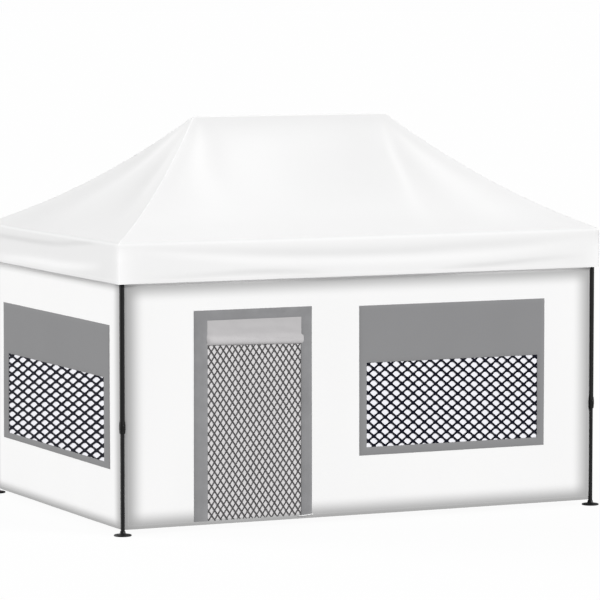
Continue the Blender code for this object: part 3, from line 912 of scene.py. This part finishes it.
class Wall:
    """One fabric wall. A point on it is given by how far along it lies and how high."""

    def __init__(self, name, on_x, side, seed, openings):
        self.name = name
        self.on_x = on_x
        self.side = side
        self.seed = seed
        self.openings = openings
        self.half = WALL_HALF_X if on_x else WALL_HALF_Y
        self.face = WALL_FACE_Y if on_x else WALL_FACE_X
        self.outward = Vector((0, side, 0)) if on_x else Vector((side, 0, 0))
        self.along = Vector((1, 0, 0)) if on_x else Vector((0, 1, 0))
        self.rightward = -side if on_x else side  # the way along that is to the right, seen from outside
        self.painted_shade_fades = LONG_PAINTED_SHADE_FADES if on_x else END_PAINTED_SHADE_FADES
        # how strongly the wall glows with painted light just under the valance
        self.light = LONG_PAINTED_GLOW if on_x else END_PAINTED_GLOW

    def relief(self, along, height):
        """How far the cloth stands out: it tucks in beside the legs and at its hem, and billows a
        little between them."""
        beside_leg = max(0.0, self.half - abs(along))
        below_eave = max(0.0, VALANCE_BOTTOM + 0.05 - height)
        tuck = LEG_TUCK[0] * math.exp(-beside_leg / LEG_TUCK[1])
        tuck += HEM_TUCK[0] * math.exp(-(height - WALL_LOW) / HEM_TUCK[1])
        free = (1 - math.exp(-beside_leg / FREE_OF_LEG)) * (1 - math.exp(-below_eave / FREE_OF_EAVE))
        billow = 0.0
        for k, (deep, rate_along, rate_up) in enumerate(BILLOWS):
            place = Vector((along * rate_along, height * rate_up, self.seed + 5 * k))
            billow += deep * noise.noise(place)
        return free * (billow + WALL_PROUD) - tuck

    def point(self, along, height, proud=0.0):
        out = self.side * (self.face + self.relief(along, height) + proud)
        return Vector((along, out, height) if self.on_x else (out, along, height))

    def painted_edge_shade(self, along, height):
        """How deep the painted shade is: 1 at the wall's darkest outer edges, easing to 0 further in.
        Right under the valance its own shadow does the darkening instead."""
        spared = 1.0
        below = VALANCE_BOTTOM - height
        edges = (self.half - abs(along), height - WALL_LOW, below)
        shares = (1.0, 1.0, eased(below / VALANCE_SHADOW))
        for distance, share, (width, depth) in zip(edges, shares, self.painted_shade_fades):
            spared *= 1 - share * depth * (1 - eased(distance / width))
        return 1 - spared

    # A painted glow just under the valance, against its shadow there
    def painted_valance_glow(self, along, height):
        return self.light * bell(max(0.0, VALANCE_BOTTOM - height), PAINTED_GLOW_REACH)

    def is_in(self, point, rect):
        start, end, low, high = rect
        return start < point.dot(self.along) < end and low < point.z < high

    def finish(self, sheet, thickness, material, angle=40):
        """Turns the sheet to face out of the tent, and gives it its thickness and its finish."""
        face_outwards(sheet, lambda centre: self.outward)
        thicken(sheet, thickness)
        smooth(sheet, angle)
        dress(sheet, material)


def rect_of(node):
    """A window's or the door's node as start, end, low and high on its wall."""
    low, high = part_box(node)
    if high.y - low.y < high.x - low.x:
        return low.x, high.x, low.z, high.z
    return low.y, high.y, low.z, high.z


WALLS = [
    Wall("front", True, -1, 3.1, ("front_window", "door")),
    Wall("back", True, 1, 11.7, ("back_window",)),
    Wall("left", False, -1, 23.3, ("left_window",)),
    Wall("right", False, 1, 37.9, ("right_window",)),
]


def edge_stops(low, high):
    """Extra lines near both edges of a wall, for the painted shade there."""
    steps = [0.006, 0.012, 0.018, 0.026] + [0.036 + 0.022 * k for k in range(8)]
    return [low + step for step in steps] + [high - step for step in steps]


def wall_cloth(wall):
    """The wall's sheet, with its hems, its openings and the corners cut back behind the brackets. Its
    edges stand a little aside of the legs' collars."""
    half = wall.half
    holes = []
    for opening in wall.openings:
        start, end, low, high = rect_of(opening + "_surround")
        holes.append((start + OPENING_LAP, end - OPENING_LAP, low + OPENING_LAP, high - OPENING_LAP))
    cut_low = VALANCE_BOTTOM + 0.002
    stops_along = []
    for inset in (HEM_WIDTH, HEM_WIDTH + HEM_STEP, BRACKET_CUT):
        stops_along += [inset - half, half - inset]
    stops_high = [WALL_LOW + 0.004, WALL_LOW + HEM_WIDTH, WALL_LOW + HEM_WIDTH + HEM_STEP, cut_low]
    stops_high += [COLLAR_LOW - COLLAR_EASE, COLLAR_LOW, COLLAR_HIGH, COLLAR_HIGH + COLLAR_EASE]
    for start, end, low, high in holes:
        stops_along += [start, end]
        stops_high += [low, high]
    across = stations(-half, half, WALL_LINES, stops_along + edge_stops(-half, half))
    down = stations(WALL_LOW, WALL_HIGH, WALL_LINES, stops_high + edge_stops(WALL_LOW, VALANCE_BOTTOM))

    def by_collar(height):
        """1 at the collars' height, and less just above and below them."""
        past = max(COLLAR_LOW - height, height - COLLAR_HIGH)
        if past > COLLAR_EASE + 0.001:
            return 0.0
        return 1.0 if past < 0.001 else 0.35

    def place(along, height):
        edge = half - abs(along)
        hemmed = min(edge, height - WALL_LOW) < HEM_WIDTH + 0.0005
        aside = -math.copysign(COLLAR_ROOM * by_collar(height) * math.exp(-edge / 0.01), along)
        return wall.point(along, height, HEM_STANDS_OUT if hemmed else 0.0) + wall.along * aside

    def is_cut(centre):
        behind_bracket = centre.z > cut_low and abs(centre.dot(wall.along)) > half - BRACKET_CUT
        return behind_bracket or any(wall.is_in(centre, hole) for hole in holes)

    # Painted shade at the wall's edges, and a painted glow under the valance
    shades = {"painted_edge_shade": wall.painted_edge_shade, "painted_valance_glow": wall.painted_valance_glow}
    sheet = cloth_grid(wall.name + "_wall_cloth", across, down, place, shades)
    delete_faces(sheet, is_cut)
    wall.finish(sheet, WALL_CLOTH, WALL_WHITE)
    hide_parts(wall.name + "_wall")
    gather_with_legs(sheet)


def surround(wall, name, inner, material, hem_open=False, trims=()):
    """A grey cloth frame sewn over an opening of the wall. Its edges are turned under."""
    start, end, low, high = rect_of(name + "_surround")
    net_start, net_end, net_low, net_high = inner
    turn = SURROUND_TURN
    stops_along = [net_start, net_end, start + turn, end - turn, net_start - turn, net_end + turn]
    stops_high = [net_low, net_high, low + turn, high - turn, net_low - turn, net_high + turn]

    def place(along, height):
        to_outer = min(along - start, end - along, high - height)
        if not hem_open:
            to_outer = min(to_outer, height - low)
        to_inner = max(net_start - along, along - net_end, net_low - height, height - net_high)
        nearest = max(0.0, min(to_outer, to_inner))
        return wall.point(along, height, SURROUND_PROUD - SURROUND_DIP * math.exp(-nearest / 0.002))

    across = stations(start, end, 0.04, stops_along)
    sheet = cloth_grid(name + "_surround_cloth", across, stations(low, high, 0.04, stops_high), place)
    cut = (net_start, net_end, net_low - (0.01 if hem_open else 0.0), net_high)
    delete_faces(sheet, lambda centre: wall.is_in(centre, cut))
    wall.finish(sheet, SURROUND_CLOTH, material)
    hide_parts(name + "_surround")
    gather_with_legs(sheet)


class Net:
    """Diamond netting: the pitch of its openings along and up, how much its rows rise per metre to
    the right, as seen from outside, and the left half of an opening's outline, in shares of the
    pitch, from its top to its bottom, opened by a factor."""

    def __init__(self, pitch, skew, left_half, opened):
        self.pitch = pitch
        self.skew = skew
        outline = left_half + [(-x, z) for x, z in reversed(left_half[1:-1])]
        self.outline = [(x * opened, z * opened) for x, z in outline]


# The corners of the diamond that repeats, in shares of the pitch, and again the first
DIAMOND = [(0, 0.5), (-0.5, 0), (0, -0.5), (0.5, 0), (0, 0.5)]
# One opening is arched at the top and pointed at the bottom
SCALE_OPENING = [
    (0.0, 0.312), (-0.108, 0.276), (-0.204, 0.192), (-0.284, 0.096), (-0.348, 0.0),
    (-0.284, -0.082), (-0.194, -0.172), (-0.101, -0.263), (0.0, -0.345),
]
FRONT_NET = Net((0.108, 0.083), -0.052, SCALE_OPENING, 1.010)
SIDE_NET = Net((0.266, 0.080), 0.11, SCALE_OPENING, 0.985)
# and one of the door's is a tall diamond with blunt ends
TALL_OPENING = [(0.0, 0.392), (-0.201, 0.196), (-0.388, 0.0), (-0.201, -0.196), (0.0, -0.392)]
DOOR_NET = Net((0.0555, 0.0816), 0.058, TALL_OPENING, 1.012)


def net_ring(name, net):
    """Flat cord round one opening of the net, out to the diamond that is repeated."""
    points = len(net.outline)
    clear_selection()
    bpy.ops.mesh.primitive_circle_add(vertices=points, radius=1.0, fill_type="NGON")
    ring = newly_made(name)
    with editing(ring):
        bpy.ops.mesh.inset(thickness=0.2)
        bpy.ops.mesh.delete(type="FACE")
    for vertex in ring.data.vertices:
        k = round(math.atan2(-vertex.co.x, vertex.co.y) / (2 * math.pi) * points) % points
        (x, z), proud = net.outline[k], 0.0
        if vertex.co.length > 0.9:
            quarter, part = divmod(4 * k / points, 1.0)
            one, two = DIAMOND[int(quarter)], DIAMOND[int(quarter) + 1]
            x, z = (a + (b - a) * part for a, b in zip(one, two))
            proud = CORD_DOME
        vertex.co = (x * net.pitch[0], proud, z * net.pitch[1])
    return ring


def netting(wall, name, rect, net, material, backing):
    """Diamond netting: one ring of cord round one opening, repeated over the window, skewed and
    trimmed to it. A film closes it from behind."""
    start, end, low, high = rect
    width, height = end - start, high - low
    pitch_along, pitch_high = net.pitch
    slope = net.skew * wall.rightward
    total_rise = slope * width
    ring = net_ring(name + "_netting", net)
    repeats = [
        (2, pitch_along / 2, pitch_high / 2),
        (math.ceil(width / pitch_along) + 2, pitch_along, 0),
        (math.ceil((height + abs(total_rise)) / pitch_high) + 3, 0, pitch_high),
    ]
    for count, step_along, step_high in repeats:
        finish_modifier(
            ring, "ARRAY", count=count, use_relative_offset=False, use_constant_offset=True,
            constant_offset_displace=(step_along, 0, step_high),
        )
    cords = join(name + "_netting", [ring], within=0.0005)
    first_x = start - pitch_along * 0.35
    first_z = low - pitch_high * 0.35 - max(0.0, total_rise)
    for vertex in cords.data.vertices:
        vertex.co.x += first_x
        vertex.co.z += first_z + slope * (vertex.co.x - start)
    trim_to(cords, rect)
    for vertex in cords.data.vertices:
        along, proud, up = vertex.co
        vertex.co = wall.point(along, up, NET_PROUD + proud)
    wall.finish(cords, NET_CORD, material, 60)
    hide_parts(name + "_net")
    gather_with_legs(cords)
    backing_film(wall, name, rect, backing)


def backing_film(wall, name, rect, material):
    start, end, low, high = rect
    across = stations(start - BACKING_LAP, end + BACKING_LAP, 0.06)
    down = stations(low - BACKING_LAP, high + BACKING_LAP, 0.06)
    film = cloth_grid(name + "_backing", across, down, lambda a, d: wall.point(a, d, -BACKING_SETBACK))
    wall.finish(film, BACKING_FILM, material, 35)
    gather_with_legs(film)


def trim_to(piece, rect):
    """Cuts a mesh that lies in the XZ plane down to a rectangle."""
    start, end, low, high = rect
    with editing(piece):
        for x, z, out_x, out_z in ((start, 0, -1, 0), (end, 0, 1, 0), (0, low, 0, -1), (0, high, 0, 1)):
            bpy.ops.mesh.select_all(action="SELECT")
            bpy.ops.mesh.bisect(
                plane_co=(x, 0, z), plane_no=(out_x, 0, out_z), clear_outer=True, clear_inner=False
            )


def windows():
    for wall in WALLS:
        window = wall.openings[0]
        rect = rect_of(window + "_net")
        grey, net = (WINDOW_GREY, FRONT_NET) if wall.on_x else (SIDE_WINDOW_GREY, SIDE_NET)
        surround(wall, window, rect, grey)
        netting(wall, window, rect, net, WINDOW_CORD, WINDOW_BACKING)


# How far the blind's lower edge rises at its left end, and how far down its upper edge is sewn on
BLIND_ASKEW = 0.018
BLIND_LOWERED = 0.011
BLIND_CREASES = 0.0014
ROLL_HEIGHT = 0.082
ROLL_BULGE = 0.0095
ROLL_STICKS_OUT = 0.020
PIPING_RADIUS = 0.0045
PIPING_LONG = 0.128


def door_blind(wall):
    """The blind over the top of the doorway: flat above, and loosely rolled at its lower edge. It
    hangs a little askew."""
    start, right, low, high = rect_of("door_strip")
    left = start - BACKING_LAP
    top = high - BLIND_LOWERED + 0.003

    def share_along(along):
        return (along - left) / (right - left)

    def bottom(along):
        return low - 0.002 + BLIND_ASKEW * (1 - share_along(along))

    def above_bottom(along, part):
        return part * (top - bottom(along))

    def roll(up_roll):
        """How far the roll bulges, from 0 to 1: it rounds up quickly and eases off above."""
        if up_roll < 0.3:
            return math.sin(math.pi / 2 * up_roll / 0.3) ** 0.7
        return math.cos(math.pi / 2 * min(1.0, (up_roll - 0.3) / 0.9)) ** 2

    def place(along, part):
        """The roll flattens towards its left end, wavers and creases, and its right end sticks out."""
        up = above_bottom(along, part)
        height = bottom(along) + up
        up_roll = up / ROLL_HEIGHT
        closed = 1 - 0.8 * math.exp(-(along - left) / 0.015)
        waver = 1 + 0.3 * noise.noise(Vector((along * 5.0, height * 9.0, 2.0)))
        crease = BLIND_CREASES * noise.noise(Vector((along * 8.0, height * 22.0, 7.0)))
        rightmost = max(0.0, (along - (right - 0.05)) / 0.05)
        stick_out = eased((up_roll + 0.15) / 0.5) * (1 - eased((up_roll - 0.80) / 0.25))
        proud = 0.0034 - 0.0020 * math.exp(-(along - left) / 0.020)
        proud += ROLL_BULGE * roll(up_roll) * waver * closed + crease * closed
        return wall.point(along, height, proud) + wall.along * (ROLL_STICKS_OUT * rightmost * stick_out)

    def roll_tone(along, part):
        edge = ROLL_HEIGHT * (0.95 - 0.45 * eased(share_along(along) * 1.2))
        edge += 0.012 * noise.noise(Vector((along * 7.0, 3.0, 5.0)))
        return 1 - eased((above_bottom(along, part) - edge + 0.012) / 0.024)

    across, down = stations(left, right, 0.015), stations(0.0, 1.0, 0.026)
    sheet = cloth_grid("door_blind", across, down, place, {"roll_tone": roll_tone})
    for corner in sheet.data.uv_layers["cloth"].data:
        along, part = corner.uv
        corner.uv = (along, part * (high - low))
    wall.finish(sheet, SURROUND_CLOTH, BLIND_GREY, 60)
    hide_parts("door_strip")
    gather_with_legs(sheet)


def door_piping(wall):
    """The loose end of white piping along the surround's lower edge, at its right corner."""
    start, end, low, high = rect_of("door_surround")
    lengths = stations(end - PIPING_LONG, end + 0.006, 0.008)
    turns = [2 * math.pi * k / 10 for k in range(11)]

    def place(along, turn):
        share = (along - lengths[0]) / (lengths[-1] - lengths[0])
        slim = PIPING_RADIUS * (0.45 + 0.55 * eased(share / 0.4))
        height = low - 0.006 + 0.009 * share**2 + slim * math.sin(turn)
        return wall.point(along, height, 0.0065 - slim * math.cos(turn))

    piping = join("door_piping", [cloth_grid("door_piping", lengths, turns, place)], within=0.0004)
    with editing(piping):
        bpy.ops.mesh.fill_holes(sides=12)
        bpy.ops.mesh.normals_make_consistent(inside=False)
    smooth(piping, 60)
    dress(piping, WALL_WHITE)
    gather_with_legs(piping)
    return piping


def doorway():
    front = WALLS[0]
    start, end, low, high = rect_of("door_net")
    inner = (start, end, low, rect_of("door_strip")[3] - BLIND_LOWERED)
    surround(front, "door", inner, DOOR_GREY, hem_open=True, trims=[door_piping(front)])
    under_blind = (start, end, low, high + BLIND_ASKEW + 0.004)
    netting(front, "door", under_blind, DOOR_NET, DOOR_CORD, DOOR_BACKING)
    door_blind(front)


# Legs

# The foot plate's outline, from its underside up to the top of its neck, each radius and height
FOOT_RINGS = [
    (FOOT_RADIUS - 0.0040, 0.0), (FOOT_RADIUS - 0.0010, 0.0018), (FOOT_RADIUS, 0.0055),
    (FOOT_RADIUS - 0.0010, 0.0092), (FOOT_RADIUS - 0.0060, 0.0122), (0.0560, 0.0142),
    (0.0410, 0.0160), (0.0310, 0.0185), (0.0255, 0.0230), (0.0232, 0.0300),
    (0.0222, 0.0385), (0.0214, 0.0400), (0.0190, 0.0402),
]


def leg(corner, sign):
    """Upper tube, collar and lock button, and the lower tube with its foot plate."""
    middle = (sign[0] * LEG_X, sign[1] * LEG_Y)
    foot_body = corner + "_foot"
    in_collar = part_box("upper_leg_" + corner)[0].z + 0.012
    leg_tube("leg_tube_", "upper_leg_", corner, middle, UPPER_TUBE / 2, in_collar, 0.0035)
    leg_collar(corner, middle)
    lock_button(corner, sign)
    leg_tube("leg_lower_tube_", "lower_leg_", corner, middle, LOWER_TUBE / 2, 0.020, 0.003, foot_body)
    foot = turned("leg_foot_" + corner, FOOT_RINGS, 48, middle)
    smooth(foot, 50)
    dress(foot, POWDER_COAT, foot_body)


def leg_tube(name, node, corner, middle, half, low, radius, body="tent"):
    """A square tube of a leg, from a height up to its node's top."""
    tube = rounded_bar(name + corner, middle, half, low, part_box(node + corner)[1].z, radius)
    thicken(tube, TUBE_WALL)
    smooth(tube)
    dress(tube, POWDER_COAT, body)
    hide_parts(node + corner)


def leg_collar(corner, middle):
    """The moulded sleeve at the upper tube's lower end: barrel-shaped, with two grip grooves."""
    x, y = middle
    sleeve = rounded_bar("leg_collar_" + corner, middle, COLLAR_HALF, COLLAR_LOW, COLLAR_HIGH, 0.006)
    tall = COLLAR_HIGH - COLLAR_LOW
    with editing(sleeve):
        for share in sorted({k / 14 for k in range(1, 14)} | set(GROOVES)):
            bpy.ops.mesh.select_all(action="SELECT")
            bpy.ops.mesh.bisect(plane_co=(0, 0, COLLAR_LOW + tall * share), plane_no=(0, 0, 1))
    for vertex in sleeve.data.vertices:
        share = (vertex.co.z - COLLAR_LOW) / tall
        barrel = math.sin(math.pi * min(1.0, max(0.0, share))) ** 0.8
        slim = COLLAR_BARREL * (1 - barrel)
        slim += sum(GROOVE_DEPTH for groove in GROOVES if abs(share - groove) < 0.001)
        scale = (COLLAR_HALF - slim) / COLLAR_HALF
        vertex.co.x = x + (vertex.co.x - x) * scale
        vertex.co.y = y + (vertex.co.y - y) * scale
    thicken(sleeve, COLLAR_THICK)
    smooth(sleeve, 30)
    dress(sleeve, NYLON)


def lock_button(corner, sign):
    """The sprung button on the collar's outer face, seen from the tent's long side."""
    clear_selection()
    bpy.ops.mesh.primitive_cylinder_add(vertices=20, radius=0.0055, depth=0.005)
    button = newly_made("leg_button_" + corner)
    button.rotation_euler = (math.radians(90), 0, 0)
    out = LEG_Y + COLLAR_HALF + 0.001
    button.location = (sign[0] * LEG_X, sign[1] * out, (COLLAR_LOW + COLLAR_HIGH) / 2 + 0.016)
    set_down(button)
    finish_modifier(button, "BEVEL", width=0.001, segments=2, limit_method="ANGLE")
    smooth(button, 30)
    dress(button, BUTTON_STEEL)


# Frame under the canopy

def frame_nodes():
    """The brackets, trusses and masts keep their CAD shapes and get their finishes."""
    for name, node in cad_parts.items():
        if name.startswith(("top_bracket", "slide_bracket")):
            material = NYLON
        elif "truss" in name or name.startswith("mast"):
            material = POWDER_COAT
        else:
            continue
        node.data.materials.clear()
        node.data.materials.append(material)


# Studio

def studio():
    """A pale floor under an even white sky, with a soft key light from the front right and a fill
    light from behind on the left."""
    clear_selection()
    bpy.ops.mesh.primitive_circle_add(vertices=96, radius=400, fill_type="NGON", location=(0, 0, 0))
    floor = newly_made("studio_floor")
    material = bpy.data.materials.new("pale floor")
    material.use_nodes = True
    tree = material.node_tree
    shader = set_inputs(
        tree.nodes["Principled BSDF"], Base_Color=(FLOOR_GREY, FLOOR_GREY, FLOOR_GREY, 1), Roughness=1.0,
        Specular_IOR_Level=0.0, Emission_Color=(1, 1, 1, 1),
    )
    seen = add_node(tree, "LightPath")
    glow = set_inputs(add_node(tree, "MapRange"), To_Min=FLOOR_LIGHT, To_Max=FLOOR_SHOWS)
    tree.links.new(seen.outputs["Is Camera Ray"], glow.inputs["Value"])
    tree.links.new(glow.outputs["Result"], shader.inputs["Emission Strength"])
    floor.data.materials.append(material)

    world = bpy.data.worlds.new("studio")
    world.use_nodes = True
    bpy.context.scene.world = world
    tree = world.node_tree
    sky = set_inputs(tree.nodes["Background"], Color=(1, 1, 1, 1), Strength=SKY_LIGHT)
    plain = set_inputs(add_node(tree, "Background"), Color=(1, 1, 1, 1), Strength=BACKDROP)
    seen = add_node(tree, "LightPath")
    mix = add_node(tree, "MixShader")
    tree.links.new(seen.outputs["Is Camera Ray"], mix.inputs["Fac"])
    tree.links.new(sky.outputs["Background"], mix.inputs[1])
    tree.links.new(plain.outputs["Background"], mix.inputs[2])
    tree.links.new(mix.outputs["Shader"], tree.nodes["World Output"].inputs["Surface"])

    for name, comes_from, strength, spread in LAMPS:
        lamp = bpy.data.lights.new(name, "SUN")
        lamp.energy = strength * math.pi
        lamp.angle = math.radians(spread)
        holder = bpy.data.objects.new(name, lamp)
        bpy.context.scene.collection.objects.link(holder)
        holder.location = Vector(comes_from) * 15
        holder.rotation_euler = (-Vector(comes_from)).to_track_quat("-Z", "Y").to_euler()


def camera():
    lens = bpy.data.cameras.new("camera")
    lens.lens = CAMERA_LENS
    lens.sensor_width = 36
    lens.clip_end = 1000
    eye = bpy.data.objects.new("camera", lens)
    bpy.context.scene.collection.objects.link(eye)
    eye.location = CAMERA_PLACE
    eye.rotation_euler = (math.radians(90 - CAMERA_DIP), 0, math.radians(-CAMERA_YAW))
    bpy.context.scene.camera = eye


def main():
    camera()
    sheet = canopy()
    seams = canopy_seams()
    for wall in WALLS:
        wall_cloth(wall)
    windows()
    doorway()
    for corner, sign in CORNERS.items():
        leg(corner, sign)
    frame_nodes()
    studio()
    bpy.context.scene.view_settings.view_transform = "Standard"


main()
